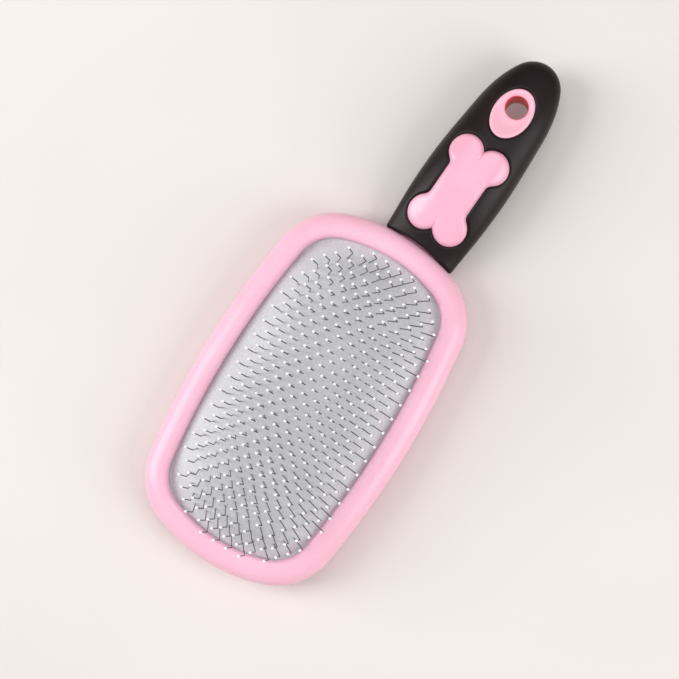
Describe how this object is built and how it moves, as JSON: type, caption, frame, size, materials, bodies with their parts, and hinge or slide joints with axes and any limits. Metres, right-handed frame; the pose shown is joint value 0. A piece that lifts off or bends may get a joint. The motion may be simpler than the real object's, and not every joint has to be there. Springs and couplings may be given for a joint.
{
  "type": "pet slicker brush",
  "caption": "Pet slicker brush: rounded pink head with a sprung grey air-cushion bed of bent wire pins with round tips, and a black grip handle with a bone inlay and a hang eyelet.",
  "frame": {"origin": "centre of the object's plan-view box, on the flat back of the head that it lies on", "axes": "+Y along the brush from the head to the handle, +Z the way the pins point, +X to the right when looking down at the pins with the handle away from the viewer"},
  "size_m": [0.084, 0.2198, 0.0331],
  "materials": {
    "pink_body": "smooth moulded ABS, soft gloss",
    "pink_frame": "smooth moulded ABS, soft gloss",
    "pink_inlay": "polished moulded ABS",
    "pink_eyelet": "smooth moulded ABS",
    "black_grip": "satin soft-touch elastomer",
    "grey_rubber": "matt fine-grained rubber",
    "backing_cloth": "plain woven cotton",
    "pin_steel": "drawn stainless wire",
    "tip_resin": "dipped white resin beads",
    "screw_steel": "zinc-plated"
  },
  "bodies": {
    "brush_body": {"head_back_shell": "pink_body", "front_bezel": "pink_frame", "handle_core_cover": "pink_body", "core_screws": "screw_steel", "grip_overmould": "black_grip", "bone_inlay": "pink_inlay", "hang_eyelet": "pink_eyelet"},
    "pin_bed": {"cushion_membrane": "grey_rubber", "pad_backing_cloth": "backing_cloth", "pin_row_01": "pin_steel", "pin_row_02": "pin_steel", "pin_row_03": "pin_steel", "pin_row_04": "pin_steel", "pin_row_05": "pin_steel", "pin_row_06": "pin_steel", "pin_row_07": "pin_steel", "pin_row_08": "pin_steel", "pin_row_09": "pin_steel", "pin_row_10": "pin_steel", "pin_row_11": "pin_steel", "pin_row_12": "pin_steel", "pin_row_13": "pin_steel", "pin_row_14": "pin_steel", "pin_row_15": "pin_steel", "pin_row_16": "pin_steel", "pin_row_17": "pin_steel", "pin_row_18": "pin_steel", "pin_row_19": "pin_steel", "pin_row_20": "pin_steel", "pin_row_21": "pin_steel", "tip_row_01": "tip_resin", "tip_row_02": "tip_resin", "tip_row_03": "tip_resin", "tip_row_04": "tip_resin", "tip_row_05": "tip_resin", "tip_row_06": "tip_resin", "tip_row_07": "tip_resin", "tip_row_08": "tip_resin", "tip_row_09": "tip_resin", "tip_row_10": "tip_resin", "tip_row_11": "tip_resin", "tip_row_12": "tip_resin", "tip_row_13": "tip_resin", "tip_row_14": "tip_resin", "tip_row_15": "tip_resin", "tip_row_16": "tip_resin", "tip_row_17": "tip_resin", "tip_row_18": "tip_resin", "tip_row_19": "tip_resin", "tip_row_20": "tip_resin", "tip_row_21": "tip_resin"}
  },
  "joints": [
    {"name": "cushion_press", "type": "slide", "parent": "brush_body", "child": "pin_bed", "axis": [0, 0, -1], "range_m": [0, 0.003], "stiffness_N_per_m": 3500, "deforming": ["cushion_membrane", "pad_backing_cloth"]}
  ]
}
